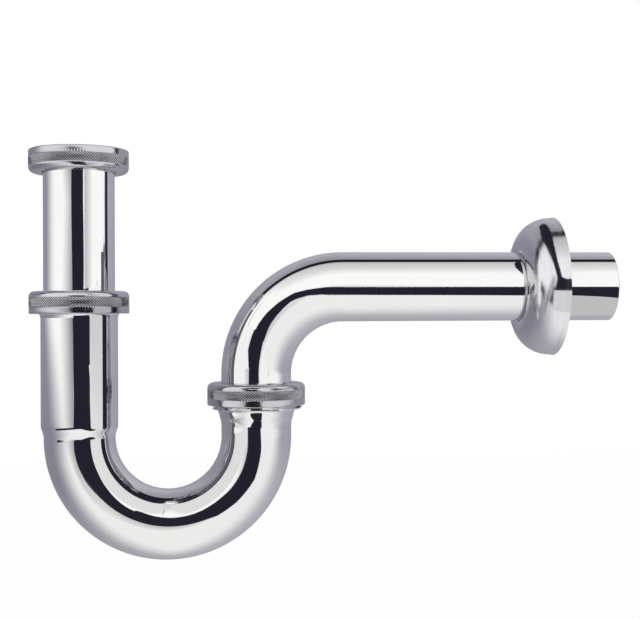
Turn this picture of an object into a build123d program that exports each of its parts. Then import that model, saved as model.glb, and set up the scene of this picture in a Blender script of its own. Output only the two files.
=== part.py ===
"""Tubular trap for a wash basin: chromed brass tube, three union nuts and a deep wall rosette.

Origin: centre of the inlet washer's upper face, where the basin waste lands.
+X runs along the wall tube towards the wall, +Z is up. Millimetres.
"""

import os

from build123d import *

# Tube stock and bends
tube_od = 32.0
tube_wall = 0.9
bend_radius = 40.0  # centre line of both bends
end_chamfer = 0.3

# Sockets swaged on the ends of the trap bend
socket_gap = 0.35  # radial room for the tube that slides in
inlet_shoulder_height = 6.0
outlet_shoulder_height = 8.0
outlet_shoulder_rise = 4.0  # its foot above the centre of the U bend

# Ferrules brazed on the sockets; their wall brings the thread to G 1 1/4, 41.91
ferrule_wall = 3.655
ferrule_height = 6.4
ferrule_step = 3.6  # how far the leg reaches up into its ferrule
ferrule_chamfer = 0.8
seat_depth = 2.0  # 45 degree seat for the cone seal
braze_gap = 0.05
thread_depth = 1.479
thread_clearance = 0.15

# Union nuts, all three alike
nut_wall = 1.395
nut_height = 10.2
nut_lip = 2.0
nut_round = 2.4  # shoulder on the lip's side
nut_chamfer = 0.5
lip_clearance = 0.4
relief_depth = 0.25  # groove behind the thread, as high as the flange and the washer

# Flange, washer, slip rings and cone seals
flange_height = 1.2
flange_root = 0.3
flange_round = 0.8
washer_height = 2.0
washer_inset = 0.4
slip_ring_height = 1.2
ring_clearance = 0.3
passing_gap = 0.25  # rings pass through a nut's thread with this room
seat_gap = 0.1  # between pieces that press on each other
seal_gap = 0.1
seal_foot = 0.3  # the cone ends this far above the bottom of its seat
adjusting_seal_rise = 0.4  # seal above its ferrule, squeezed tight
outlet_seal_rise = 2.2  # only hand tight, so its nut stands higher

# Layout
trap_drop = 125.0  # inlet face down to the centre of the U bend
inlet_leg_height = 59.6  # top of each leg above that centre
outlet_leg_height = 15.8
adjusting_room = 21.0  # below the inlet tube's end, down to the shoulder
outlet_stop_gap = 0.5  # the same below the outlet tube's end
outlet_rise = 28.0  # centre of the U bend up to the start of the outlet bend
wall_run = 126.5  # straight wall tube after the outlet bend

# Wall rosette, pressed from sheet: a short skirt, a dome, and an edge turned in to the hole
rosette_od = 64.6
rosette_sheet = 0.8
rosette_depth = 16.2
rosette_skirt = 1.5
rosette_flare = 0.3
rosette_hole_gap = 0.65
turn_in_width = 2.05
turn_in_depth = 1.2
rosette_standoff = 27.5  # wall tube that stands out behind the rosette

# Radii that follow
tube_r = tube_od / 2
bore_r = tube_r - tube_wall
socket_bore_r = tube_r + socket_gap
socket_r = socket_bore_r + tube_wall
ferrule_socket_r = socket_r + braze_gap
ferrule_bore_r = socket_bore_r + braze_gap
thread_r = ferrule_socket_r + ferrule_wall
ring_r = thread_r - thread_depth - passing_gap
nut_bore_r = thread_r + thread_clearance
nut_r = nut_bore_r + nut_wall

# Places that follow
leg_spacing = 2 * bend_radius
u_centre_z = -trap_drop
inlet_shoulder_top_z = u_centre_z + inlet_shoulder_height
outlet_shoulder_top_z = u_centre_z + outlet_shoulder_rise + outlet_shoulder_height
flange_z = -washer_height - flange_height
outlet_bend_z = u_centre_z + outlet_rise
wall_axis_z = outlet_bend_z + bend_radius
wall_start_x = leg_spacing + bend_radius
rosette_back_x = wall_start_x + wall_run - rosette_standoff


def upright(x, z):
    """Section through a vertical axis at x: local x is the radius, local y points up from z."""
    return Plane(origin=(x, 0, z), x_dir=(1, 0, 0), z_dir=(0, -1, 0))


def hanging(x, z):
    """The same section with local y pointing down."""
    return Plane(origin=(x, 0, z), x_dir=(1, 0, 0), z_dir=(0, 1, 0))


def standing_axis(x):
    return Axis((x, 0, 0), (0, 0, 1))


def union_nut(x, section):
    """Nut with its lip's outer face on the section's origin and its thread opening along local y."""
    lip_r = tube_r + lip_clearance
    relief_r = nut_bore_r + relief_depth
    thread_start = nut_lip + washer_height + flange_height + seat_gap
    with BuildPart() as nut:
        with BuildSketch(section) as profile:
            with BuildLine():
                Polyline(
                    (lip_r, 0),
                    (nut_r, 0),
                    (nut_r, nut_height),
                    (nut_bore_r, nut_height),
                    (nut_bore_r, thread_start),
                    (relief_r, thread_start),
                    (relief_r, nut_lip),
                    (lip_r, nut_lip),
                    close=True,
                )
            make_face()
            fillet(profile.vertices().sort_by_distance((nut_r, 0))[0], nut_round)
            chamfer(profile.vertices().sort_by_distance((nut_r, nut_height))[:2], nut_chamfer)
        revolve(axis=standing_axis(x))
    return nut


def thread_ferrule(x, top_z):
    """Ring on a leg's end: socket for the leg below, clear bore, and the cone seat in its top."""
    with BuildPart() as ferrule:
        with BuildSketch(upright(x, top_z - ferrule_height)) as profile:
            with BuildLine():
                Polyline(
                    (ferrule_socket_r, 0),
                    (thread_r, 0),
                    (thread_r, ferrule_height),
                    (ferrule_bore_r + seat_depth, ferrule_height),
                    (ferrule_bore_r, ferrule_height - seat_depth),
                    (ferrule_bore_r, ferrule_step),
                    (ferrule_socket_r, ferrule_step),
                    close=True,
                )
            make_face()
            outer_corners = profile.vertices().group_by(Axis.X)[-1]
            chamfer(outer_corners, ferrule_chamfer)
        revolve(axis=standing_axis(x))
    return ferrule


def cone_seal(x, ferrule_top_z, rise):
    """Rubber ring: a cone that fills the ferrule's seat and a plain band that stands above it."""
    mouth_r = ferrule_bore_r + seat_depth - seal_gap
    foot_depth = seat_depth - seal_foot
    with BuildPart() as seal:
        with BuildSketch(upright(x, ferrule_top_z)):
            with BuildLine():
                Polyline(
                    (tube_r + seal_gap, -foot_depth),
                    (mouth_r - foot_depth, -foot_depth),
                    (mouth_r, 0),
                    (mouth_r, rise),
                    (tube_r + seal_gap, rise),
                    close=True,
                )
            make_face()
        revolve(axis=standing_axis(x))
    return seal


def flat_ring(x, bottom_z, inner_r, height):
    """Plain ring that passes through a nut's thread."""
    with BuildPart() as ring:
        with BuildSketch(Plane.XY.offset(bottom_z)):
            with Locations((x, 0)):
                Circle(ring_r)
                Circle(inner_r, mode=Mode.SUBTRACT)
        extrude(amount=height)
    return ring


def coupling(x, leg_height, seal_rise):
    """Ferrule, cone seal, slip ring and nut, each resting on the one below."""
    ferrule_top_z = u_centre_z + leg_height + ferrule_height - ferrule_step
    ring_z = ferrule_top_z + seal_rise + seat_gap
    nut_top_z = ring_z + slip_ring_height + seat_gap + nut_lip
    return (
        thread_ferrule(x, ferrule_top_z),
        cone_seal(x, ferrule_top_z, seal_rise),
        flat_ring(x, ring_z, tube_r + ring_clearance, slip_ring_height),
        union_nut(x, hanging(x, nut_top_z)),
    )


# Inlet tube: plain tube with a flange turned out at its top
with BuildPart() as inlet_tube:
    tube_end_z = inlet_shoulder_top_z + adjusting_room
    with BuildSketch(upright(0, 0)) as profile:
        with BuildLine():
            Polyline(
                (bore_r, tube_end_z),
                (tube_r, tube_end_z),
                (tube_r, flange_z),
                (ring_r, flange_z),
                (ring_r, -washer_height),
                (bore_r, -washer_height),
                close=True,
            )
        make_face()
        chamfer(profile.vertices().sort_by_distance((tube_r, tube_end_z))[0], end_chamfer)
        fillet(profile.vertices().sort_by_distance((tube_r, flange_z))[0], flange_root)
        fillet(profile.vertices().sort_by_distance((bore_r, -washer_height))[0], flange_round)
    revolve(axis=standing_axis(0))

inlet_washer = flat_ring(0, -washer_height, bore_r + washer_inset, washer_height)
inlet_nut = union_nut(0, upright(0, flange_z - seat_gap - nut_lip))

# Trap bend: one tube bent through a half turn, its ends swaged out to sockets
with BuildPart() as trap_bend:
    with BuildSketch(Plane.XY.offset(u_centre_z)):
        Circle(tube_r)
        Circle(bore_r, mode=Mode.SUBTRACT)
    revolve(axis=Axis((bend_radius, 0, u_centre_z), (0, -1, 0)), revolution_arc=180)
    for leg_x, leg_height, shoulder_rise, shoulder_height in (
        (0, inlet_leg_height, 0, inlet_shoulder_height),
        (leg_spacing, outlet_leg_height, outlet_shoulder_rise, outlet_shoulder_height),
    ):
        with BuildSketch(upright(leg_x, u_centre_z + shoulder_rise)):
            with BuildLine():
                # each wall swells in an S of two equal arcs
                walls = []
                for narrow_r, wide_r in ((bore_r, socket_bore_r), (tube_r, socket_r)):
                    middle = ((narrow_r + wide_r) / 2, shoulder_height / 2)
                    lower = TangentArc((narrow_r, 0), middle, tangent=(0, 1))
                    upper = TangentArc(middle, (wide_r, shoulder_height), tangent=lower % 1)
                    walls.append((lower @ 0, upper @ 1))
                (inner_foot, inner_top), (outer_foot, outer_top) = walls
                Line(inner_foot, outer_foot)
                top = leg_height - shoulder_rise
                Polyline(inner_top, (socket_bore_r, top), (socket_r, top), outer_top)
            make_face()
        revolve(axis=standing_axis(leg_x))
    with BuildSketch(Plane.XY.offset(u_centre_z)):
        with Locations((leg_spacing, 0)):
            Circle(tube_r)
            Circle(bore_r, mode=Mode.SUBTRACT)
    extrude(amount=outlet_shoulder_rise)

inlet_leg_ferrule, adjusting_cone_seal, adjusting_slip_ring, adjusting_nut = coupling(
    0, inlet_leg_height, adjusting_seal_rise
)
outlet_leg_ferrule, outlet_cone_seal, outlet_slip_ring, outlet_nut = coupling(
    leg_spacing, outlet_leg_height, outlet_seal_rise
)

# Outlet bend: leg in the trap's socket, quarter bend and the wall tube, all one tube
with BuildPart() as outlet_bend:
    leg_end_z = outlet_shoulder_top_z + outlet_stop_gap
    with BuildSketch(Plane.XY.offset(leg_end_z)):
        with Locations((leg_spacing, 0)):
            Circle(tube_r)
            Circle(bore_r, mode=Mode.SUBTRACT)
    extrude(amount=outlet_bend_z - leg_end_z)
    with BuildSketch(Plane.XY.offset(outlet_bend_z)):
        with Locations((leg_spacing, 0)):
            Circle(tube_r)
            Circle(bore_r, mode=Mode.SUBTRACT)
    revolve(axis=Axis((wall_start_x, 0, outlet_bend_z), (0, 1, 0)), revolution_arc=90)
    with BuildSketch(Plane.YZ.offset(wall_start_x)):
        with Locations((0, wall_axis_z)):
            Circle(tube_r)
            Circle(bore_r, mode=Mode.SUBTRACT)
    extrude(amount=wall_run)
    rims = outlet_bend.edges().filter_by(GeomType.CIRCLE)
    outer_rims = rims.filter_by(lambda rim: abs(rim.radius - tube_r) < end_chamfer / 2)
    chamfer([outer_rims.sort_by(Axis.Z)[0], outer_rims.sort_by(Axis.X)[-1]], end_chamfer)

# Wall rosette: local x runs along the wall tube, local y is the radius
with BuildPart() as wall_rosette:
    rim_r = rosette_od / 2
    skirt_r = rim_r - rosette_flare
    hole_r = tube_r + rosette_hole_gap
    crest_r = hole_r + turn_in_width
    turn_in_r = (turn_in_width**2 + turn_in_depth**2) / (2 * turn_in_depth)
    turn_in_centre = Vector(turn_in_r - rosette_depth, crest_r)
    hole_edge = Vector(turn_in_depth - rosette_depth, hole_r)
    hole_back = hole_edge + (turn_in_centre - hole_edge).normalized() * rosette_sheet
    dome_length = rosette_depth - rosette_skirt
    dome_height = skirt_r - crest_r
    with BuildSketch(upright(rosette_back_x, wall_axis_z)):
        with BuildLine():
            for sheet, hole_end in ((0, hole_edge), (rosette_sheet, hole_back)):
                Line((0, rim_r - sheet), (-rosette_skirt, skirt_r - sheet))
                EllipticalCenterArc(
                    (-rosette_skirt, crest_r),
                    dome_length - sheet,
                    dome_height - sheet,
                    start_angle=90,
                    arc_size=90,
                )
                TangentArc((sheet - rosette_depth, crest_r), hole_end, tangent=(0, -1))
            Line((0, rim_r), (0, rim_r - rosette_sheet))
            Line(hole_edge, hole_back)
        make_face()
    revolve(axis=Axis((0, 0, wall_axis_z), (1, 0, 0)))

pieces = {
    "inlet_nut": inlet_nut,
    "inlet_washer": inlet_washer,
    "inlet_tube": inlet_tube,
    "adjusting_nut": adjusting_nut,
    "adjusting_slip_ring": adjusting_slip_ring,
    "adjusting_cone_seal": adjusting_cone_seal,
    "inlet_leg_ferrule": inlet_leg_ferrule,
    "trap_bend": trap_bend,
    "outlet_leg_ferrule": outlet_leg_ferrule,
    "outlet_cone_seal": outlet_cone_seal,
    "outlet_slip_ring": outlet_slip_ring,
    "outlet_nut": outlet_nut,
    "outlet_bend": outlet_bend,
    "wall_rosette": wall_rosette,
}

os.makedirs("parts", exist_ok=True)
for name, piece in pieces.items():
    piece.part.label = name
    export_step(piece.part, f"parts/{name}.step")
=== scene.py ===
import math
import bpy
import numpy as np
from mathutils import Matrix


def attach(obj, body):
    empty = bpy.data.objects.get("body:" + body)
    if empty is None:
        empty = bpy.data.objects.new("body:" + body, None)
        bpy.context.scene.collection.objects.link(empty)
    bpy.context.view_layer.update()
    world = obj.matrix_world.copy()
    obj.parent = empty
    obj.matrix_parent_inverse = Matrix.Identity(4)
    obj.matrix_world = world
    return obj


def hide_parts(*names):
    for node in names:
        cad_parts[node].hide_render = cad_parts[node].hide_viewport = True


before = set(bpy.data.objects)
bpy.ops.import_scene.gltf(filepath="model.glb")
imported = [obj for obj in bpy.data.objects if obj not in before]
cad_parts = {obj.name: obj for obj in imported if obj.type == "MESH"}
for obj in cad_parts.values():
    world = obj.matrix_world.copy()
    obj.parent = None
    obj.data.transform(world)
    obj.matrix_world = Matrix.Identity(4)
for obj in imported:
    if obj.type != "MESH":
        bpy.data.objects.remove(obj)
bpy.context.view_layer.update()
print("frame loaded:", len(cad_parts), "solids")

mm = 0.001
tau = 2 * math.pi
hair = 0.01  # mm, enough to tell one radius from another
hardEdge = 32.0  # degrees past which two faces meet in a hard edge
tubeAround = 240  # faces round a tube
brassWithin = 15.5  # mm, walls inside this radius are bare brass
scene = bpy.context.scene


# sRGB hex to linear: c / 12.92 near black, otherwise ((c + 0.055) / 1.055) to the power 2.4
def hexLinear(code):
    srgb = np.array([int(code[i:i + 2], 16) for i in (1, 3, 5)]) / 255
    linear = np.where(srgb <= 0.04045, srgb / 12.92, ((srgb + 0.055) / 1.055) ** 2.4)
    return (*linear.tolist(), 1.0)


# one node: settings are its properties, inputs are plain values or sockets to link
def addNode(tree, kind, inputs=None, **settings):
    node = tree.nodes.new(kind)
    for key, value in settings.items():
        setattr(node, key, value)
    for key, value in (inputs or {}).items():
        if isinstance(value, bpy.types.NodeSocket):
            tree.links.new(value, node.inputs[key])
        else:
            node.inputs[key].default_value = value
    return node


# Closed outline with rounded corners. A row is (s, r, fillet, parts): place along the axis, radius,
# corner fillet, and into how many parts the run after it is cut. A corner is the arc that touches
# both its sides, drawn as a rational quadratic curve whose middle weighs the sine of the half angle.
def roundedLoop(corners, steps=7):
    rows = np.array(corners, float)
    spot, fillet, parts = rows[:, :2], rows[:, 2:3], rows[:, 3].astype(int)
    back = np.roll(spot, 1, 0) - spot
    ahead = np.roll(spot, -1, 0) - spot
    back /= np.linalg.norm(back, axis=1, keepdims=True)
    ahead /= np.linalg.norm(ahead, axis=1, keepdims=True)
    half = np.arccos(np.clip((back * ahead).sum(1, keepdims=True), -1, 1)) / 2
    reach = fillet / np.tan(half)
    u = np.linspace(0, 1, steps)[None, :, None]
    weights = ((1 - u) ** 2, 2 * u * (1 - u) * np.sin(half)[:, None], u ** 2)
    points = ((spot + back * reach)[:, None], spot[:, None], (spot + ahead * reach)[:, None])
    arcs = sum(w * p for w, p in zip(weights, points)) / sum(weights)
    loop = arcs.reshape(-1, 2)
    counts = np.ones((len(rows), steps), int)
    counts[:, -1] = parts
    keep = np.linalg.norm(np.roll(loop, -1, 0) - loop, axis=1) > 1e-4  # a fillet of 0 is one point
    loop, counts = loop[keep], counts.ravel()[keep]
    index = np.repeat(np.arange(len(loop)), counts)
    share = (np.arange(len(index)) - (np.cumsum(counts) - counts)[index]) / counts[index]
    return loop[index] + share[:, None] * (np.roll(loop, -1, 0) - loop)[index]


# A closed outline (s, r) carried along a path and round it. The path is a run, a bend in the XZ plane
# and a run. After turning through the angle a, its outward normal is cos(a) out + sin(a) along.
# A point of the ring is centre(s) + r (cos(t) normal + sin(t) Y), with t once round.
# The point attribute turnedSpot keeps the length run along the outline and the place round the ring, and
# cutDepth how far a knurl or thread lies below the outline.
def ringSkin(name, loop, path, around, field=None, boreBelow=0.0):
    s, r = loop.T
    t = np.arange(around) * tau / around
    radius = np.repeat(r[:, None], around, 1) if field is None else field(s[:, None], r[:, None], t[None])
    start, along, out = (np.array(path[key], float) for key in ("start", "along", "out"))
    run, bend, bendRadius = path.get("run", 0.0), path.get("bend", 0.0), path.get("bendRadius", 1.0)
    a = np.clip((s - run) / bendRadius, 0, bend)[:, None]
    normal = np.cos(a) * out + np.sin(a) * along
    heading = np.cos(a) * along - np.sin(a) * out
    before = np.minimum(s, run)[:, None]
    after = np.maximum(s - run - bend * bendRadius, 0)[:, None]
    centre = start + before * along + bendRadius * (normal - out) + after * heading
    ring = np.cos(t)[None, :, None] * normal[:, None] + np.sin(t)[None, :, None] * np.array([0.0, 1.0, 0.0])
    spot = (centre[:, None] + radius[..., None] * ring).reshape(-1, 3) * mm

    rows, columns = radius.shape
    i, j = np.arange(rows)[:, None], np.arange(columns)[None]
    nextRow, nextColumn = (i + 1) % rows * columns, (j + 1) % columns
    quads = np.stack([i * columns + j, nextRow + j, nextRow + nextColumn, i * columns + nextColumn], -1)
    quads = quads.reshape(-1, 4)
    p0, p1, p2, p3 = (spot[quads[:, k]] for k in range(4))
    volume = (p0 * (np.cross(p1, p2) + np.cross(p2, p3))).sum()  # six times the true one, below 0 inside out
    if volume < 0:
        quads = quads[:, ::-1]

    mesh = bpy.data.meshes.new(name)
    mesh.vertices.add(len(spot))
    mesh.vertices.foreach_set("co", spot.ravel())
    mesh.loops.add(quads.size)
    mesh.loops.foreach_set("vertex_index", quads.ravel())
    mesh.polygons.add(len(quads))
    mesh.polygons.foreach_set("loop_start", np.arange(0, quads.size, 4))
    inBore = (r < boreBelow) & (np.roll(r, -1) < boreBelow)
    mesh.polygons.foreach_set("material_index", np.repeat(inBore, columns).astype(np.int32))
    mesh.update(calc_edges=True)
    mesh.shade_smooth()
    mesh.set_sharp_from_angle(angle=math.radians(hardEdge))
    fed = np.concatenate([[0], np.cumsum(np.linalg.norm(np.diff(loop, axis=0), axis=1))])
    turned = np.stack([np.repeat(fed[:, None], columns, 1), radius * np.cos(t), radius * np.sin(t)], -1)
    mesh.attributes.new("turnedSpot", "FLOAT_VECTOR", "POINT").data.foreach_set("vector", turned.ravel() * mm)
    if field is not None:
        depth = (r[:, None] - radius).ravel() * mm
        mesh.attributes.new("cutDepth", "FLOAT", "POINT").data.foreach_set("value", depth)
    piece = bpy.data.objects.new(name, mesh)
    scene.collection.objects.link(piece)
    print(f"{name}: {2 * len(quads)} triangles, {abs(volume) / 6 * 1e6:.2f} ml of metal, rubber or plastic")
    return piece


# gives a piece its finish and its body, and hides the solid it stands for; the slot name is not used
def dress(piece, node, body, slotName, *finishes):
    for finish in finishes:
        piece.data.materials.append(finish)
    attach(piece, body)
    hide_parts(node)


# a material with a Principled shader, and the socket of the piece's own turned coordinates
def startMaterial(name):
    material = bpy.data.materials.new(name)
    material.use_nodes = True
    tree = material.node_tree
    tree.nodes.clear()
    shader = addNode(tree, "ShaderNodeBsdfPrincipled")
    addNode(tree, "ShaderNodeOutputMaterial", {"Surface": shader.outputs[0]})
    turned = addNode(tree, "ShaderNodeAttribute", attribute_name="turnedSpot")
    return material, tree, shader, turned.outputs["Vector"]


# noise whose grain is so many mm along the outline and so many round the ring
def grain(tree, spot, alongMm, roundMm, detail=2.0):
    scale = (1000 / alongMm, 1000 / roundMm, 1000 / roundMm)
    mapped = addNode(tree, "ShaderNodeMapping", {"Vector": spot, "Scale": scale})
    noise = addNode(tree, "ShaderNodeTexNoise", {"Vector": mapped.outputs[0], "Scale": 1.0, "Detail": detail})
    return noise.outputs["Fac"]


# Bright chromium over nickel on drawn and buffed brass tube: a mirror, with faint buffing lines along the
# tube, pale clouds and slow waves that bend the edges of what it mirrors.
brightChrome = {
    "tint": "#E2E2E1", "cloud": "#D9D9DA", "cloudMm": 30.0,
    "lineMm": (60.0, 0.7), "lineRange": (0.3, 0.75), "roughness": (0.025, 0.075),
    "waveMm": (22.0, 9.0), "waveHeightMm": 0.006,
}


def makeBrightChrome(look):
    material, tree, shader, spot = startMaterial("chromePlatedMirror")
    cloud = grain(tree, spot, look["cloudMm"], look["cloudMm"])
    tint = addNode(tree, "ShaderNodeMix", {"Factor": cloud, "A": hexLinear(look["tint"]),
                                           "B": hexLinear(look["cloud"])}, data_type="RGBA")
    tree.links.new(tint.outputs[2], shader.inputs["Base Color"])
    (faint, plain), (low, high) = look["lineRange"], look["roughness"]
    buffed = grain(tree, spot, *look["lineMm"])
    lines = addNode(tree, "ShaderNodeMapRange", {"Value": buffed, "From Min": faint, "From Max": plain,
                                                 "To Min": low, "To Max": high})
    tree.links.new(lines.outputs[0], shader.inputs["Roughness"])
    waves = addNode(tree, "ShaderNodeBump", {"Height": grain(tree, spot, *look["waveMm"], detail=0.0),
                                             "Strength": 1.0, "Distance": look["waveHeightMm"] * mm})
    tree.links.new(waves.outputs[0], shader.inputs["Normal"])
    shader.inputs["Metallic"].default_value = 1.0
    return material


chromeMirror = makeBrightChrome(brightChrome)

# Chromium on brass left unbuffed, turned for the nuts and spun for the rosette: satin and greyer, with fine
# tool rings round the axis that smear what it mirrors along the outline. Rings of 0.1 mm are drawn coarser,
# so that they show. Where a knurl is cut in, a painted shade darkens the bottoms of its grooves to near
# black.
satinChrome = {
    "chromePlatedKnurled": {
        "tint": "#C6C6CA", "cloud": "#AEAEB4", "cloudMm": 25.0, "cloudRange": (0.12, 0.42),
        "ringMm": (0.3, 45.0), "ringHeightMm": 0.008,
        "streakMm": (0.7, 60.0), "streakRange": (0.3, 0.7), "roughness": (0.11, 0.2),
        # groove is the colour of the painted shade at the bottoms of the knurl's grooves, with the depths in
        # mm over which it comes in
        "groove": "#17161B", "grooveShadeMm": (0.22, 0.36),
    },
    "chromePlatedSpun": {
        "tint": "#D6D6D8", "cloud": "#CDCDD0", "cloudMm": 25.0, "cloudRange": (0.12, 0.42),
        "ringMm": (0.8, 60.0), "ringHeightMm": 0.004,
        "streakMm": (1.6, 80.0), "streakRange": (0.3, 0.7), "roughness": (0.12, 0.21),
    },
}


def makeSatinChrome(name, look):
    material, tree, shader, spot = startMaterial(name)
    streak = grain(tree, spot, *look["streakMm"])
    cloud = grain(tree, spot, look["cloudMm"], look["cloudMm"])
    mixed = addNode(tree, "ShaderNodeMath", {0: streak, 1: cloud}, operation="MULTIPLY")
    thin, thick = look["cloudRange"]
    spread = addNode(tree, "ShaderNodeMapRange", {"Value": mixed.outputs[0], "From Min": thin,
                                                  "From Max": thick})
    tint = addNode(tree, "ShaderNodeMix", {"Factor": spread.outputs[0], "A": hexLinear(look["tint"]),
                                           "B": hexLinear(look["cloud"])}, data_type="RGBA")
    colour = tint.outputs[2]
    # painted shade: the colour darkens towards the groove colour as the knurl cuts deeper
    if "groove" in look:
        cut = addNode(tree, "ShaderNodeAttribute", attribute_name="cutDepth")
        shallow, deep = look["grooveShadeMm"]
        grooveShadeFactor = addNode(tree, "ShaderNodeMapRange", {"Value": cut.outputs["Fac"], "From Min": shallow * mm,
                                                        "From Max": deep * mm})
        grooveShadeTint = addNode(tree, "ShaderNodeMix", {"Factor": grooveShadeFactor.outputs[0], "A": colour,
                                                  "B": hexLinear(look["groove"])}, data_type="RGBA")
        colour = grooveShadeTint.outputs[2]
    tree.links.new(colour, shader.inputs["Base Color"])
    (faint, plain), (low, high) = look["streakRange"], look["roughness"]
    worn = addNode(tree, "ShaderNodeMapRange", {"Value": streak, "From Min": faint, "From Max": plain,
                                                "To Min": low, "To Max": high})
    tree.links.new(worn.outputs[0], shader.inputs["Roughness"])
    rings = addNode(tree, "ShaderNodeBump", {"Height": grain(tree, spot, *look["ringMm"]), "Strength": 1.0,
                                             "Distance": look["ringHeightMm"] * mm})
    tree.links.new(rings.outputs[0], shader.inputs["Normal"])
    shader.inputs["Metallic"].default_value = 1.0
    return material


chromeKnurled, chromeSpun = (makeSatinChrome(name, look) for name, look in satinChrome.items())

# Drawn brass inside the tubes, where the plating thins out: dull gold, browner in patches, with die lines
rawBrass = {
    "tint": "#B79A62", "stain": "#8A6F45", "stainMm": 14.0, "stainRange": (0.4, 0.7),
    "lineMm": (80.0, 0.8), "lineHeightMm": 0.01, "dullRange": (0.3, 0.7), "roughness": (0.3, 0.5),
}


def makeRawBrass(look):
    material, tree, shader, spot = startMaterial("brassDrawnBore")
    stain = grain(tree, spot, look["stainMm"], look["stainMm"], detail=4.0)
    thin, thick = look["stainRange"]
    patch = addNode(tree, "ShaderNodeMapRange", {"Value": stain, "From Min": thin, "From Max": thick})
    tint = addNode(tree, "ShaderNodeMix", {"Factor": patch.outputs[0], "A": hexLinear(look["tint"]),
                                           "B": hexLinear(look["stain"])}, data_type="RGBA")
    tree.links.new(tint.outputs[2], shader.inputs["Base Color"])
    (faint, plain), (low, high) = look["dullRange"], look["roughness"]
    dull = addNode(tree, "ShaderNodeMapRange", {"Value": stain, "From Min": faint, "From Max": plain,
                                                "To Min": low, "To Max": high})
    tree.links.new(dull.outputs[0], shader.inputs["Roughness"])
    lines = addNode(tree, "ShaderNodeBump", {"Height": grain(tree, spot, *look["lineMm"]), "Strength": 1.0,
                                             "Distance": look["lineHeightMm"] * mm})
    tree.links.new(lines.outputs[0], shader.inputs["Normal"])
    shader.inputs["Metallic"].default_value = 1.0
    return material


brassBore = makeRawBrass(rawBrass)

# Moulded rubber and moulded polyethylene: one soft black with a grey bloom, one milky and waxy
mouldedSoft = {
    "rubberMouldedBlack": {
        "tint": "#1B1B1C", "bloom": "#343434", "bloomMm": 3.0, "bloomRange": (0.4, 0.75),
        "grainMm": 0.35, "grainHeightMm": 0.02, "sheenRange": (0.3, 0.7), "roughness": (0.55, 0.8),
    },
    "polyethyleneMouldedNatural": {
        "tint": "#ECEBE2", "bloom": "#DDDBCD", "bloomMm": 6.0, "bloomRange": (0.4, 0.75),
        "grainMm": 0.6, "grainHeightMm": 0.008, "sheenRange": (0.3, 0.7), "roughness": (0.35, 0.5),
    },
}


def makeMoulded(name, look):
    material, tree, shader, spot = startMaterial(name)
    bloom = grain(tree, spot, look["bloomMm"], look["bloomMm"], detail=4.0)
    thin, thick = look["bloomRange"]
    patch = addNode(tree, "ShaderNodeMapRange", {"Value": bloom, "From Min": thin, "From Max": thick})
    tint = addNode(tree, "ShaderNodeMix", {"Factor": patch.outputs[0], "A": hexLinear(look["tint"]),
                                           "B": hexLinear(look["bloom"])}, data_type="RGBA")
    tree.links.new(tint.outputs[2], shader.inputs["Base Color"])
    (faint, plain), (low, high) = look["sheenRange"], look["roughness"]
    sheen = addNode(tree, "ShaderNodeMapRange", {"Value": bloom, "From Min": faint, "From Max": plain,
                                                 "To Min": low, "To Max": high})
    tree.links.new(sheen.outputs[0], shader.inputs["Roughness"])
    skin = addNode(tree, "ShaderNodeBump", {"Height": grain(tree, spot, look["grainMm"], look["grainMm"]),
                                            "Strength": 1.0, "Distance": look["grainHeightMm"] * mm})
    tree.links.new(skin.outputs[0], shader.inputs["Normal"])
    return material


rubberBlack, waxyPlastic = (makeMoulded(name, look) for name, look in mouldedSoft.items())
print("materials made")

# Union nuts, all three alike. s runs from the lip's outer face to the open mouth.
unionNut = {
    "height": 10.2, "lip": 2.0, "lipRadius": 16.4, "bandRadius": 22.4, "round": 2.4, "mouthChamfer": 0.55,
    "boreRadius": 21.105, "reliefRadius": 21.355, "reliefStep": 0.1, "threadStart": 5.3,
    "innerFillet": 0.2, "lipFillet": 0.3, "mouthFillet": 0.35,
    "knurlFrom": 2.75, "knurlTo": 7.25, "knurlRadius": 22.5, "knurlStep": 0.12, "knurlDepth": 0.4,
    "knurlFade": 0.3, "diamonds": 114, "diamondHeight": 1.2, "partsPerDiamond": 6,
    "pitch": 2.309, "threadDepth": 1.479, "threadFlat": 0.1, "threadFade": (1.0, 1.2), "partsPerPitch": 12,
    "boreReach": 0.3,
}
nutPlaces = {
    "inletNut": dict(node="inlet_nut", x=0.0, lipZ=-5.3, up=True),
    "adjustingNut": dict(node="adjusting_nut", x=0.0, lipZ=-58.8, up=False),
    "outletNut": dict(node="outlet_nut", x=80.0, lipZ=-100.8, up=False),
}


# a wave of straight slopes: 0 on whole numbers, 1 halfway between
def zigzag(x):
    return 1 - np.abs(2 * (x - np.floor(x)) - 1)


# 0 up to low, 1 from high on, a straight ramp between
def ramp(x, low, high):
    return np.clip((x - low) / (high - low), 0, 1)


# thread form: a zigzag with its crest and root cut flat
def threadForm(turns):
    flat = unionNut["threadFlat"]
    return ramp(zigzag(turns), flat, 1 - flat)


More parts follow.
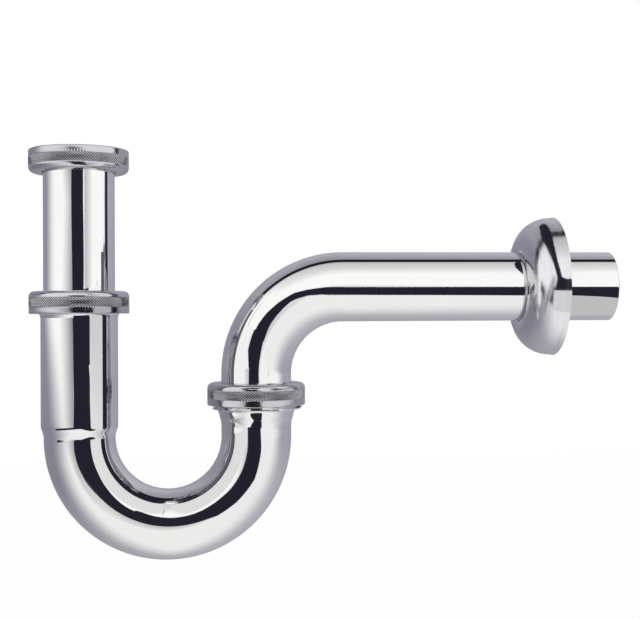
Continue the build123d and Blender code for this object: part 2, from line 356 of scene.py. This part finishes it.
# Nut outline, then its radius field. Knurl: two families of V grooves cross at the same angle, so the
# depth is the larger of zigzag(n t / tau + s / h) and zigzag(n t / tau - s / h).
# Thread: the radius steps in by threadForm of z / pitch - t / tau, the same helix as on the ferrules.
def makeNut(name, x, lipZ, up, nut):
    rise = 1 if up else -1
    height, threadStart = nut["height"], nut["threadStart"]
    knurlFrom, knurlTo = nut["knurlFrom"], nut["knurlTo"]
    knurlParts = round((knurlTo - knurlFrom) / nut["diamondHeight"] * nut["partsPerDiamond"])
    threadParts = round((height - threadStart) / nut["pitch"] * nut["partsPerPitch"])
    band, bore, relief = nut["bandRadius"], nut["boreRadius"], nut["reliefRadius"]
    loop = roundedLoop([
        (nut["lip"], nut["lipRadius"], nut["innerFillet"], 1),
        (0, nut["lipRadius"], nut["lipFillet"], 4),
        (0, band, nut["round"], 2),
        (knurlFrom, band, 0, 1),
        (knurlFrom + nut["knurlStep"], nut["knurlRadius"], 0, knurlParts),
        (knurlTo - nut["knurlStep"], nut["knurlRadius"], 0, 1),
        (knurlTo, band, 0, 3),
        (height, band, nut["mouthChamfer"], 1),
        (height, bore, nut["mouthFillet"], threadParts),
        (threadStart, bore, 0, 1),
        (threadStart - nut["reliefStep"], relief, 0, 2),
        (nut["lip"], relief, nut["innerFillet"], 3),
    ])

    def field(s, r, t):
        column, row = nut["diamonds"] * t / tau, s / nut["diamondHeight"]
        groove = np.maximum(zigzag(column + row), zigzag(column - row))
        outer = (r > band + hair) * ramp(s, knurlFrom, knurlFrom + nut["knurlFade"])
        knurl = outer * ramp(-s, -knurlTo, -knurlTo + nut["knurlFade"]) * nut["knurlDepth"] * groove
        turns = (lipZ + rise * s) / nut["pitch"] - t / tau
        inner, mouth = nut["threadFade"]
        inThread = (np.abs(r - bore) < nut["boreReach"]) * ramp(s, threadStart, threadStart + inner)
        inThread = inThread * ramp(-s, -height, -height + mouth)
        return r - knurl - inThread * nut["threadDepth"] * (1 - threadForm(turns))

    path = {"start": (x, 0, lipZ), "along": (0, 0, rise), "out": (1, 0, 0)}
    return ringSkin(name, loop, path, nut["diamonds"] * nut["partsPerDiamond"], field)


for name, place in nutPlaces.items():
    nut = makeNut(name, place["x"], place["lipZ"], place["up"], unionNut)
    dress(nut, place["node"], place["node"], "satin_chrome", chromeKnurled)

# Ferrules brazed on the legs: male thread outside, cone seat in the top, a fillet of braze below
ferrule = {
    "height": 6.4, "step": 3.6, "threadRadius": 20.955, "socketRadius": 17.3, "boreRadius": 16.4,
    "seatDepth": 2.0, "seatFillet": 0.1, "chamfer": 0.8, "edgeFillet": 0.15, "around": 288,
    "brazeWidth": 0.8, "brazeDrop": 1.8, "brazeEdge": 0.06, "brazeHollow": (0.25, 0.3), "brazeFillet": 1.2,
}
ferrulePlaces = {
    "inletLegFerrule": dict(node="inlet_leg_ferrule", x=0.0, bottomZ=-69.0),
    "outletLegFerrule": dict(node="outlet_leg_ferrule", x=80.0, bottomZ=-112.8),
}


# Ferrule outline, then its radius field: the crest steps in by threadForm of z / pitch - t / tau,
# and the chamfered ends keep their own radius where it is the smaller.
def makeFerrule(name, x, bottomZ, look):
    crest, height, chamfer = look["threadRadius"], look["height"], look["chamfer"]
    socket, bore, seat = look["socketRadius"], look["boreRadius"], look["seatDepth"]
    hollowDrop, hollowWidth = look["brazeHollow"]
    threadParts = round((height - 2 * chamfer) / unionNut["pitch"] * unionNut["partsPerPitch"])
    loop = roundedLoop([
        (look["step"], socket, 0, 1),
        (-look["brazeDrop"], socket, 0, 1),
        (-look["brazeDrop"], socket + look["brazeEdge"], 0, 1),
        (-hollowDrop * look["brazeDrop"], socket + hollowWidth * look["brazeWidth"], look["brazeFillet"], 1),
        (0, socket + look["brazeWidth"], 0, 1),
        (0, crest - chamfer, look["edgeFillet"], 2),
        (chamfer, crest, 0, threadParts),
        (height - chamfer, crest, 0, 2),
        (height, crest - chamfer, look["edgeFillet"], 1),
        (height, bore + seat, look["seatFillet"], 2),
        (height - seat, bore, look["seatFillet"], 1),
        (look["step"], bore, 0, 1),
    ])

    def field(s, r, t):
        turns = (bottomZ + s) / unionNut["pitch"] - t / tau
        cut = crest - unionNut["threadDepth"] * (1 - threadForm(turns))
        return np.minimum(r, np.where(r > crest - chamfer - hair, cut, r))

    path = {"start": (x, 0, bottomZ), "along": (0, 0, 1), "out": (1, 0, 0)}
    return ringSkin(name, loop, path, look["around"], field)


for name, place in ferrulePlaces.items():
    dress(makeFerrule(name, place["x"], place["bottomZ"], ferrule), place["node"], "trap", "bright_chrome",
          chromeMirror)

# Rings that lie inside the couplings: outlines of (s, r) corners, s upwards from z
softAround = 144
slipCorners = [(0, 16.3), (0, 19.226), (1.2, 19.226), (1.2, 16.3)]
coneFoot = [(-1.7, 16.1), (-1.7, 16.6), (0, 18.3)]
rubberRing = dict(finish=rubberBlack, slot="black_rubber")
plasticRing = dict(finish=waxyPlastic, slot="natural_polyethylene", fillet=0.25, corners=slipCorners)
softRings = {
    "inletWasher": dict(rubberRing, node="inlet_washer", body="inlet", x=0.0, z=-2.0, fillet=0.35,
                        corners=[(0, 15.5), (0, 19.226), (2.0, 19.226), (2.0, 15.5)]),
    "adjustingConeSeal": dict(rubberRing, node="adjusting_cone_seal", body="adjusting_seal", x=0.0, z=-62.6,
                              fillet=0.15, corners=coneFoot + [(0.4, 18.3), (0.4, 16.1)]),
    "outletConeSeal": dict(rubberRing, node="outlet_cone_seal", body="outlet_seal", x=80.0, z=-106.4,
                           fillet=0.15, corners=coneFoot + [(2.2, 18.3), (2.2, 16.1)]),
    "adjustingSlipRing": dict(plasticRing, node="adjusting_slip_ring", body="adjusting_ring", x=0.0, z=-62.1),
    "outletSlipRing": dict(plasticRing, node="outlet_slip_ring", body="outlet_ring", x=80.0, z=-104.1),
}
for name, look in softRings.items():
    loop = roundedLoop([(s, r, look["fillet"], 2) for s, r in look["corners"]])
    path = {"start": (look["x"], 0, look["z"]), "along": (0, 0, 1), "out": (1, 0, 0)}
    dress(ringSkin(name, loop, path, softAround), look["node"], look["body"], look["slot"], look["finish"])

# Inlet tube: plain tube, its top turned out to a flange under the washer
inletTube = {
    "endZ": -98.0, "radius": 16.0, "bore": 15.1, "flangeZ": -3.2, "topZ": -2.0, "flangeRadius": 19.226,
    "mouthFillet": 0.8, "boreFillet": 0.1, "edgeFillet": 0.3,
}
tube, edge = inletTube, inletTube["edgeFillet"]
loop = roundedLoop([
    (tube["topZ"], tube["bore"], tube["mouthFillet"], 4),
    (tube["endZ"], tube["bore"], tube["boreFillet"], 1),
    (tube["endZ"], tube["radius"], edge, 6),
    (tube["flangeZ"], tube["radius"], edge, 2),
    (tube["flangeZ"], tube["flangeRadius"], edge, 1),
    (tube["topZ"], tube["flangeRadius"], edge, 2),
])
path = {"start": (0, 0, 0), "along": (0, 0, 1), "out": (1, 0, 0)}
dress(ringSkin("inletTube", loop, path, tubeAround, boreBelow=brassWithin), "inlet_tube", "inlet",
      "bright_chrome", chromeMirror, brassBore)

# Trap bend: s runs down the inlet leg, round the half turn and up the outlet leg. The rows are counted for
# the inlet leg, its shoulder, the half turn, the run to the outlet shoulder, that shoulder and the rest.
trapBend = {
    "radius": 16.0, "bore": 15.1, "socketRadius": 17.25, "socketBore": 16.35, "inletShoulder": 6.0,
    "outletShoulder": 8.0, "outletShoulderRise": 4.0, "inletLeg": 59.6, "outletLeg": 15.8, "bendRadius": 40.0,
    "top": (0.0, -65.4), "edge": 0.35, "boreEdge": 0.25, "rows": (14, 25, 121, 6, 29, 8),
}


# A wall that swells from narrow to wide over a height, in an S of two equal arcs: each arc has radius
# (height squared + rise squared) / (4 rise), and the second is the first turned half round.
def swage(h, narrow, wide, height):
    rise = wide - narrow
    arc = (height ** 2 + rise ** 2) / (4 * rise)
    h = np.clip(h, 0, height)
    short = np.minimum(h, height - h)
    lift = arc - np.sqrt(arc ** 2 - short ** 2)
    return np.where(h < height / 2, narrow + lift, wide - lift)


# the outer and inner walls are swaged alike at both ends, and a small chamfer closes each end
def makeTrap(look):
    leg, arc, edge = look["inletLeg"], math.pi * look["bendRadius"], look["edge"]
    end = leg + arc + look["outletLeg"]
    inletTop, outletFoot = leg - look["inletShoulder"], leg + arc + look["outletShoulderRise"]
    outletTop = outletFoot + look["outletShoulder"]
    stops = [edge, inletTop, leg, leg + arc, outletFoot, outletTop, end - edge]
    runs = [np.linspace(a, b, count)[1:] for a, b, count in zip(stops, stops[1:], look["rows"])]
    s = np.concatenate([[edge], *runs])
    onInlet = s < leg + arc / 2
    h = np.where(onInlet, leg - s, s - outletFoot)
    height = np.where(onInlet, look["inletShoulder"], look["outletShoulder"])
    outer = swage(h, look["radius"], look["socketRadius"], height)
    inner = swage(h, look["bore"], look["socketBore"], height)
    lipBore, lipRadius = look["socketBore"] + look["boreEdge"], look["socketRadius"] - edge
    lip = np.array([[0, lipBore], [0, lipRadius]])
    tip = np.array([[end, lipRadius], [end, lipBore]])
    within = np.append(np.arange(0, len(s) - 1, 2), len(s) - 1)  # the inner wall has half the rows
    loop = np.concatenate([lip, np.stack([s, outer], 1), tip, np.stack([s, inner], 1)[within[::-1]]])
    path = {"start": (look["top"][0], 0, look["top"][1]), "along": (0, 0, -1), "out": (-1, 0, 0),
            "run": leg, "bend": math.pi, "bendRadius": look["bendRadius"]}
    return ringSkin("trapBend", loop, path, tubeAround, boreBelow=brassWithin)


dress(makeTrap(trapBend), "trap_bend", "trap", "bright_chrome", chromeMirror, brassBore)

# Outlet bend: s runs up the leg, round the quarter turn and along the wall tube, with rows counted for each
outletBend = {
    "radius": 16.0, "bore": 15.1, "foot": (80.0, -112.5), "leg": 15.5, "bendRadius": 40.0, "wallRun": 126.5,
    "edge": 0.3, "boreEdge": 0.1, "rows": (5, 61, 16),
}


# two walls of constant radius, and a small chamfer at each end
def makeOutlet(look):
    leg, arc, edge = look["leg"], math.pi / 2 * look["bendRadius"], look["edge"]
    end = leg + arc + look["wallRun"]
    stops = [edge, leg, leg + arc, end - edge]
    runs = [np.linspace(a, b, count)[1:] for a, b, count in zip(stops, stops[1:], look["rows"])]
    s = np.concatenate([[edge], *runs])
    lipBore, lipRadius = look["bore"] + look["boreEdge"], look["radius"] - edge
    lip = np.array([[0, lipBore], [0, lipRadius]])
    tip = np.array([[end, lipRadius], [end, lipBore]])
    outer = np.stack([s, np.full_like(s, look["radius"])], 1)
    inner = np.stack([s, np.full_like(s, look["bore"])], 1)[::-1]
    path = {"start": (look["foot"][0], 0, look["foot"][1]), "along": (0, 0, 1), "out": (-1, 0, 0),
            "run": leg, "bend": math.pi / 2, "bendRadius": look["bendRadius"]}
    loop = np.concatenate([lip, outer, tip, inner])
    return ringSkin("outletBend", loop, path, tubeAround, boreBelow=brassWithin)


dress(makeOutlet(outletBend), "outlet_bend", "outlet", "bright_chrome", chromeMirror, brassBore)

# Wall rosette, pressed from sheet. s runs along the wall tube towards the wall, from 0 at the wall's face.
# The rows are counted for the skirt, the dome and the turned-in edge.
wallRosette = {
    "backX": 219.0, "axisZ": -57.0, "rimRadius": 32.3, "skirt": 1.5, "flare": 0.3, "depth": 16.2,
    "crestRadius": 18.7, "turnInWidth": 2.05, "turnInDepth": 1.2, "sheet": 0.8,
    "rows": (6, 72, 20), "around": 264,
}


# Skirt: a short cone. Dome: a quarter ellipse from the skirt to the crest. Turned-in edge: an arc from the
# crest down to the hole, whose radius is (width squared + depth squared) / (2 depth).
# The inner wall is the outer one moved in by the sheet along its normal.
def makeRosette(look):
    skirtRows, domeRows, edgeRows = look["rows"]
    skirtRadius = look["rimRadius"] - look["flare"]
    u = np.linspace(0, 1, skirtRows)
    skirt = np.stack([-look["skirt"] * u, look["rimRadius"] - look["flare"] * u], 1)
    q = np.linspace(0, math.pi / 2, domeRows)[1:]
    dome = np.stack([-look["skirt"] - (look["depth"] - look["skirt"]) * np.sin(q),
                     look["crestRadius"] + (skirtRadius - look["crestRadius"]) * np.cos(q)], 1)
    width, depth = look["turnInWidth"], look["turnInDepth"]
    arc = (width ** 2 + depth ** 2) / (2 * depth)
    d = np.linspace(0, math.asin(width / arc), edgeRows)[1:]
    edge = np.stack([arc * (1 - np.cos(d)) - look["depth"], look["crestRadius"] - arc * np.sin(d)], 1)
    outer = np.concatenate([skirt, dome, edge])
    ahead = np.gradient(outer, axis=0)
    normal = np.stack([-ahead[:, 1], ahead[:, 0]], 1) / np.linalg.norm(ahead, axis=1, keepdims=True)
    inner = outer + normal * look["sheet"]
    inner[:, 0] = np.minimum(inner[:, 0], 0)
    loop = np.concatenate([outer, inner[::-1]])
    path = {"start": (look["backX"], 0, look["axisZ"]), "along": (1, 0, 0), "out": (0, 0, 1)}
    return ringSkin("wallRosette", loop, path, look["around"])


dress(makeRosette(wallRosette), "wall_rosette", "rosette", "satin_chrome", chromeSpun)
print("pieces made")


# An emitter that belongs to the stage: a sheet through its corners, in metres, of one face or of those given,
# with one level or one for each corner, which then fades from corner to corner
def stageSheet(name, corners, colour, level=1.0, seen=False, faces=None):
    mesh = bpy.data.meshes.new(name)
    mesh.from_pydata(corners, [], faces or [list(range(len(corners)))])
    levels = np.broadcast_to(np.array(level, float), len(corners))
    mesh.attributes.new("level", "FLOAT", "POINT").data.foreach_set("value", levels.copy())
    sheet = bpy.data.objects.new(name, mesh)
    scene.collection.objects.link(sheet)
    sheet.visible_camera = seen
    material = bpy.data.materials.new(name)
    material.use_nodes = True
    tree = material.node_tree
    tree.nodes.clear()
    glow = addNode(tree, "ShaderNodeAttribute", attribute_name="level")
    light = addNode(tree, "ShaderNodeEmission", {"Color": hexLinear(colour), "Strength": glow.outputs["Fac"]})
    addNode(tree, "ShaderNodeOutputMaterial", {"Surface": light.outputs[0]})
    mesh.materials.append(material)
    return sheet


# Plain pale floor, sizes in metres, as far below the trap as under a basin; the chrome sees the tent instead
floorLook = {"half": 4.0, "z": -0.62, "colour": "#FEFEFE"}
h, z = floorLook["half"], floorLook["z"]
floor = stageSheet("floor", [(-h, -h, z), (h, -h, z), (h, h, z), (-h, h, z)], floorLook["colour"], seen=True)
floor.visible_glossy = False

# White tent round the trap. By direction (x to the right, y to the rear, z up) it is white in front, dimmer
# round the opening and overhead, and grey-violet behind. The change is slow on the left, and below the
# horizon, where the cloth lies on the ground, it starts sooner the further it is to a side. A dark seam runs
# where front and rear meet above and on the right. To the camera the tent is plain white.
tent = {
    "front": "#FFFFFE", "level": 1.3, "behind": "#8E8C98", "behindTop": "#BEBCC4", "seam": "#26242F",
    "middleAt": -0.26, "middle": 0.25, "middleSide": 1.3, "middleUp": 2.0, "zenithFrom": 0.67, "zenith": 1.3,
    "ground": 0.12, "groundFrom": -0.12, "rearFrom": -0.02, "rearTo": 0.3, "slowFrom": -0.28, "slowTo": 0.32,
    "slowAt": -0.6, "rearRise": 0.16, "horizon": (0.05, 0.25), "leftSide": 1.0, "rightSide": 0.6,
    "sideFrom": -1.3, "sideTo": -0.5, "liftSide": 0.5, "seamAt": 0.24, "seamHalf": 0.085, "seamSoft": 0.05,
    "seamSide": (0.1, 0.5), "seamUp": (-0.06, 0.02),
}
world = bpy.data.worlds.new("studioTent")
scene.world = world
world.use_nodes = True
tree = world.node_tree
tree.nodes.clear()
direction = addNode(tree, "ShaderNodeTexCoord")
split = addNode(tree, "ShaderNodeSeparateXYZ", {0: direction.outputs["Generated"]})
toRight, toRear, upward = split.outputs
height = addNode(tree, "ShaderNodeMath", {0: upward}, operation="ABSOLUTE")
raised = addNode(tree, "ShaderNodeMath", {0: upward, 1: 0.0}, operation="MAXIMUM")
turned = addNode(tree, "ShaderNodeMath", {0: raised.outputs[0], 1: tent["rearRise"], 2: toRear},
                 operation="MULTIPLY_ADD")

# where front turns to rear
level = addNode(tree, "ShaderNodeMapRange", {"Value": upward, "From Min": tent["horizon"][0],
                                             "From Max": tent["horizon"][1], "To Min": 1.0, "To Max": 0.0})
leftward = addNode(tree, "ShaderNodeMath", {0: toRight, 1: level.outputs[0]}, operation="MULTIPLY")
lower = addNode(tree, "ShaderNodeMath", {0: leftward.outputs[0], 1: upward}, operation="MINIMUM")
slow = addNode(tree, "ShaderNodeMapRange", {"Value": lower.outputs[0], "From Min": 0.0,
                                            "From Max": tent["slowAt"]})
below = addNode(tree, "ShaderNodeMapRange", {"Value": upward, "From Min": 0.0,
                                             "From Max": tent["groundFrom"]})
atLeft = addNode(tree, "ShaderNodeMath", {0: toRight, 1: -tent["leftSide"]}, operation="MULTIPLY")
atRight = addNode(tree, "ShaderNodeMath", {0: toRight, 1: tent["rightSide"]}, operation="MULTIPLY")
side = addNode(tree, "ShaderNodeMath", {0: atLeft.outputs[0], 1: atRight.outputs[0]}, operation="MAXIMUM")
groundSide = addNode(tree, "ShaderNodeMath", {0: below.outputs[0], 1: side.outputs[0]}, operation="MULTIPLY")
edges = []
for slowKey, sideKey, key in (("slowFrom", "sideFrom", "rearFrom"), ("slowTo", "sideTo", "rearTo")):
    slowed = addNode(tree, "ShaderNodeMath", {0: slow.outputs[0], 1: tent[slowKey], 2: tent[key]},
                     operation="MULTIPLY_ADD")
    aside = addNode(tree, "ShaderNodeMath", {0: groundSide.outputs[0], 1: tent[sideKey],
                                             2: slowed.outputs[0]}, operation="MULTIPLY_ADD")
    edges.append(aside.outputs[0])
rear = addNode(tree, "ShaderNodeMapRange", {"Value": turned.outputs[0], "From Min": edges[0],
                                            "From Max": edges[1]}, interpolation_type="SMOOTHSTEP")

# the rear is lighter to the right, above and on the ground
lift = addNode(tree, "ShaderNodeMath", {0: toRight, 1: tent["liftSide"], 2: height.outputs[0]},
               operation="MULTIPLY_ADD")
behind = addNode(tree, "ShaderNodeMix", {"Factor": lift.outputs[0], "A": hexLinear(tent["behind"]),
                                         "B": hexLinear(tent["behindTop"])}, data_type="RGBA")
cloth = addNode(tree, "ShaderNodeMix", {"Factor": rear.outputs[0], "A": hexLinear(tent["front"]),
                                        "B": behind.outputs[2]}, data_type="RGBA")

# the seam
offSeam = addNode(tree, "ShaderNodeMath", {0: turned.outputs[0], 1: tent["seamAt"]}, operation="SUBTRACT")
offSeam = addNode(tree, "ShaderNodeMath", {0: offSeam.outputs[0]}, operation="ABSOLUTE")
seam = addNode(tree, "ShaderNodeMapRange", {"Value": offSeam.outputs[0], "From Min": tent["seamHalf"],
                                            "From Max": tent["seamHalf"] + tent["seamSoft"], "To Min": 1.0,
                                            "To Max": 0.0}, interpolation_type="SMOOTHSTEP")
aside = addNode(tree, "ShaderNodeMath", {0: toRight, 1: upward}, operation="MAXIMUM")
for value, key in ((aside.outputs[0], "seamSide"), (upward, "seamUp")):
    shown = addNode(tree, "ShaderNodeMapRange", {"Value": value, "From Min": tent[key][0],
                                                 "From Max": tent[key][1]})
    seam = addNode(tree, "ShaderNodeMath", {0: seam.outputs[0], 1: shown.outputs[0]}, operation="MULTIPLY")
seamed = addNode(tree, "ShaderNodeMix", {"Factor": seam.outputs[0], "A": cloth.outputs[2],
                                         "B": hexLinear(tent["seam"])}, data_type="RGBA")

# dimmer round the opening, overhead and on the ground
offMiddle = addNode(tree, "ShaderNodeMath", {0: toRight, 1: tent["middleAt"]}, operation="SUBTRACT")
offMiddle = addNode(tree, "ShaderNodeMath", {0: offMiddle.outputs[0]}, operation="ABSOLUTE")
spread = addNode(tree, "ShaderNodeMath", {0: offMiddle.outputs[0], 1: tent["middleSide"], 2: tent["middle"]},
                 operation="MULTIPLY_ADD")
spread = addNode(tree, "ShaderNodeMath", {0: height.outputs[0], 1: tent["middleUp"], 2: spread.outputs[0]},
                 operation="MULTIPLY_ADD")
rearward = addNode(tree, "ShaderNodeMath", {0: toRear, 1: 0.0}, operation="MAXIMUM")
spread = addNode(tree, "ShaderNodeMath", {0: spread.outputs[0], 1: rearward.outputs[0]}, operation="ADD")
shade = addNode(tree, "ShaderNodeMath", {0: spread.outputs[0], 1: 1.0}, operation="MINIMUM")
overhead = addNode(tree, "ShaderNodeMath", {0: upward, 1: tent["zenithFrom"]}, operation="SUBTRACT")
overhead = addNode(tree, "ShaderNodeMath", {0: overhead.outputs[0], 1: 0.0}, operation="MAXIMUM")
for value, key in ((overhead.outputs[0], "zenith"), (below.outputs[0], "ground")):
    dimmed = addNode(tree, "ShaderNodeMath", {0: value, 1: -tent[key], 2: 1.0}, operation="MULTIPLY_ADD")
    shade = addNode(tree, "ShaderNodeMath", {0: shade.outputs[0], 1: dimmed.outputs[0]}, operation="MULTIPLY")
strength = addNode(tree, "ShaderNodeMath", {0: shade.outputs[0], 1: tent["level"]}, operation="MULTIPLY")
glow = addNode(tree, "ShaderNodeBackground", {"Color": seamed.outputs[2], "Strength": strength.outputs[0]})
plain = addNode(tree, "ShaderNodeBackground", {"Color": (1.0, 1.0, 1.0, 1.0), "Strength": 1.0})
ray = addNode(tree, "ShaderNodeLightPath")
shown = addNode(tree, "ShaderNodeMixShader", {0: ray.outputs["Is Camera Ray"], 1: glow.outputs[0],
                                              2: plain.outputs[0]})
addNode(tree, "ShaderNodeOutputWorld", {"Surface": shown.outputs[0]})

# colours of the dark room and of the studio's cards
stock = {"white": "#FFFFFE", "dark": "#2A2835", "grey": "#6C6976"}

# The tent's front is cut open along the trap, and only the chrome sees the dark room behind it. The cloth
# leans: y = middle y + lean x (x - middle x) + lean z (z - middle z). Each edge is a row of (x, z) in mm.
opening = {"middle": (60.0, -200.0, -80.0), "lean": (1.0, -1.2)}
openingEdges = {
    "openingTrap": [(-190, 110), (-60, 85), (30, 58), (94, 22), (92, 4), (90, -14), (84, -38), (74, -58),
                    (76, -76), (92, -94), (96, -118), (101, -140), (97, -159), (80, -170), (64, -174),
                    (44, -166), (28, -157), (14, -158), (-8, -165), (-32, -163), (-50, -156), (-46, -122),
                    (-60, -104), (-72, -82), (-104, -56), (-132, -24), (-190, 30)],
    "openingWall": [(142, -62.3), (228, -59.5), (252, -58.5), (252, -69), (230, -74.5), (214, -80.5),
                    (150, -100.2), (142, -102.6)],
}
for name, rim in openingEdges.items():
    x, z = np.array(rim, float).T
    (middleX, middleY, middleZ), (leanX, leanZ) = opening["middle"], opening["lean"]
    y = middleY + leanX * (x - middleX) + leanZ * (z - middleZ)
    stageSheet(name, (np.stack([x, y, z], 1) * mm).tolist(), stock["dark"])

# Flat cards that only the chrome sees. White ones beside the inlet tube and between the legs hide the dark
# room from them, and a narrow dark one on each leg's side draws a line where it turns from the other leg.
# One dark card narrows the inlet leg's light, and one carries the opening's dark band round the outlet bend.
# A card stands across x or y, at a place on it in mm. Its rim is then a row of (y, z) or (x, z).
cards = {
    "fillInlet": dict(across="y", at=-35.0, stock="white", level=(0.65, 1.3, 1.3, 0.65),
                      rim=[(12.3, -57), (31, -57), (31, -4), (12.3, -4)]),
    "fillInletSide": dict(across="y", at=-35.0, stock="white", level=1.3,
                          rim=[(31, -57), (55, -57), (55, -4), (31, -4)]),
    "shadeOutletBend": dict(across="y", at=-60.0, stock="dark", level=1.0,
                            rim=[(45, -62), (48, -54), (58, -46.5), (72, -42), (88, -40), (104, -48),
                                 (124, -59), (140, -59), (140, -85.5), (125, -85), (117, -72), (107, -62),
                                 (98, -58), (92, -57.5), (86, -62), (82, -68), (84, -82), (52, -78)]),
    "shadeInletLeg": dict(across="x", at=39.5, stock="dark", level=1.0,
                          rim=[(-112, -94), (-61, -94), (-61, -56), (-112, -56)]),
    "fillInletLeg": dict(across="x", at=39.5, stock="white", level=(1.0, 1.0, 0.8, 0.8, 1.0),
                         rim=[(-53, -134), (-19, -134), (-19, -60), (-61, -60), (-61, -112)]),
    "flagInletLeg": dict(across="x", at=39.5, stock="dark", level=1.0,
                         rim=[(-19, -130), (-9, -130), (-9, -58), (-19, -58)]),
    "fillOutletLeg": dict(across="x", at=40.5, stock="white", level=1.2,
                          rim=[(-56, -126), (-17, -126), (-17, -56), (-56, -56)]),
    "fillOutletFoot": dict(across="x", at=40.5, stock="white", level=1.2,
                           rim=[(-56, -76), (-75, -88), (-82, -94), (-56, -94)]),
    "flagOutletLeg": dict(across="x", at=40.5, stock="grey", level=1.0,
                          rim=[(-17, -130), (-9, -130), (-9, -40), (-17, -40)]),
}
for name, card in cards.items():
    aside, z = np.array(card["rim"], float).T
    held = np.full_like(z, card["at"])
    corners = np.stack([held, aside, z] if card["across"] == "x" else [aside, held, z], 1) * mm
    stageSheet(name, corners.tolist(), stock[card["stock"]], card["level"])

# Strips bent round a tube. A row is (angle, from, to): the angle in degrees turns from u towards v, and the
# strip runs along the axis between the two places. Round the rosette's rim a dark one gives the crescent on
# the dome and a white one the light below it. A white one lights the tube behind the rosette, and round the
# inlet leg a dark one draws the outline of its shoulder.
roundWallTube = dict(axis=(1, 0, 0), u=(0, 0, 1), v=(0, -1, 0), centre=(0, 0, wallRosette["axisZ"]))
roundInletLeg = dict(axis=(0, 0, 1), u=(0, -1, 0), v=(-1, 0, 0), centre=(0, 0, 0))
strips = {
    "rimShade": dict(roundWallTube, stock="dark", level=1.0, radius=36.0,
                     rows=[(8, 208.0, 212.0), (15, 206.5, 213.0), (25, 204.0, 213.0), (38, 203.8, 212.5),
                           (50, 205.3, 211.8), (60, 207.0, 212.0), (68, 208.8, 212.4), (76, 210.0, 213.5),
                           (83, 211.0, 214.5), (85, 211.0, 218.7), (95, 209.5, 218.7)]),
    "rimFill": dict(roundWallTube, stock="white", level=0.95, radius=36.0,
                    rows=[(angle, 208.0, 219.0) for angle in (95, 105, 115)]),
    "stubFill": dict(roundWallTube, stock="white", level=0.7, radius=50.0,
                     rows=[(angle, 226.0, 300.0) for angle in (106, 125, 150, 190)]),
    "legShade": dict(roundInletLeg, stock="dark", level=1.0, radius=35.0,
                     rows=[(3, -125.3, -120.8), (15, -126.2, -121.3), (28, -127.2, -122.0),
                           (42, -128.0, -123.0), (54, -128.5, -124.5)]),
}
for name, strip in strips.items():
    angle, *ends = np.array(strip["rows"], float).T
    angle = np.radians(angle)[:, None]
    axis, u, v, centre = (np.array(strip[key], float) for key in ("axis", "u", "v", "centre"))
    bent = centre + strip["radius"] * (np.cos(angle) * u + np.sin(angle) * v)
    corners = np.concatenate([bent + end[:, None] * axis for end in ends]) * mm
    count = len(angle)
    faces = [(i, i + 1, count + i + 1, count + i) for i in range(count - 1)]
    stageSheet(name, corners.tolist(), stock[strip["stock"]], strip["level"], faces=faces)

# Camera at the photograph's angle: place, lens and sensor in mm, turns in degrees
eye = {
    "place": (58.24, -543.92, -69.33), "yaw": 5.394, "pitch": 0.194, "roll": -0.241,
    "lens": 66.5, "sensor": 36.0,
}
yaw, pitch, roll = (math.radians(eye[key]) for key in ("yaw", "pitch", "roll"))
forward = np.array([math.sin(yaw) * math.cos(pitch), math.cos(yaw) * math.cos(pitch), math.sin(pitch)])
level = np.array([math.cos(yaw), -math.sin(yaw), 0])
upright = np.cross(level, forward)
right = math.cos(roll) * level + math.sin(roll) * upright
above = math.cos(roll) * upright - math.sin(roll) * level
cameraData = bpy.data.cameras.new("camera")
cameraData.lens = eye["lens"]
cameraData.sensor_width = eye["sensor"]
camera = bpy.data.objects.new("camera", cameraData)
scene.collection.objects.link(camera)
turnMatrix = Matrix(np.stack([right, above, -forward], 1).tolist()).to_4x4()
camera.matrix_world = Matrix.Translation([c * mm for c in eye["place"]]) @ turnMatrix
scene.camera = camera
scene.view_settings.view_transform = "Standard"
print("stage, light and camera set")
